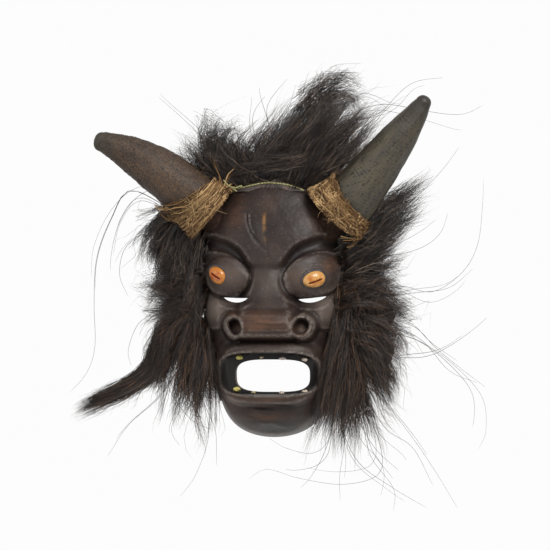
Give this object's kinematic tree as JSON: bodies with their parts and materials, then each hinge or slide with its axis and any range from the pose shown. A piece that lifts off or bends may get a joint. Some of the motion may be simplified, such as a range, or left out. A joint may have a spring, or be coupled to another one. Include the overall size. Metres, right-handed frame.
{
  "type": "noh mask",
  "caption": "Carved wooden demon face mask with two horns bound in jute, shell eyes, an open mouth and tufts of dark hair.",
  "frame": {"origin": "on the plane of the back rim, midway between the two cord holes, at ear level", "axes": "+Z to the top of the head, the face looks toward -Y, +X is to the viewer's right"},
  "size_m": [0.403, 0.0928, 0.4498],
  "materials": {
    "mask_wood": "dark brown lacquer over carved wood, worn brown on the edges, satin",
    "horn_brown": "natural horn, brown, rough and pitted",
    "horn_grey": "natural horn, dark grey olive, fibrous",
    "plug_wood": "plain softwood, unseen",
    "jute": "coarse jute sacking, frayed",
    "twine": "pale plant-fibre twine",
    "hide": "dried hide, dark",
    "hair": "coarse near-black hair with a slight sheen",
    "shell": "polished cowrie shell, orange to cream",
    "putty": "dark resin bed",
    "tooth": "worn stubs, yellow green to pale pink"
  },
  "bodies": {
    "root": {"mask_shell": "mask_wood", "horn_left": "horn_brown", "horn_right": "horn_grey", "horn_core_left": "plug_wood", "horn_core_right": "plug_wood", "jute_wrap_left": "jute", "jute_wrap_right": "jute", "brow_twine": "twine", "crown_pelt": "hide", "crown_hair": "hair", "pelt_left_upper": "hide", "hair_left_upper": "hair", "pelt_left_lower": "hide", "hair_left_lower": "hair", "tail_lock_left": "hair", "pelt_right_upper": "hide", "hair_right_upper": "hair", "pelt_right_lower": "hide", "hair_right_clump": "hair", "hair_right_lower": "hair", "tie_left": "twine", "tie_right": "twine", "cowrie_left": "shell", "cowrie_right": "shell", "eye_putty_left": "putty", "eye_putty_right": "putty", "teeth_upper": "tooth", "teeth_lower": "tooth"}
  },
  "joints": []
}
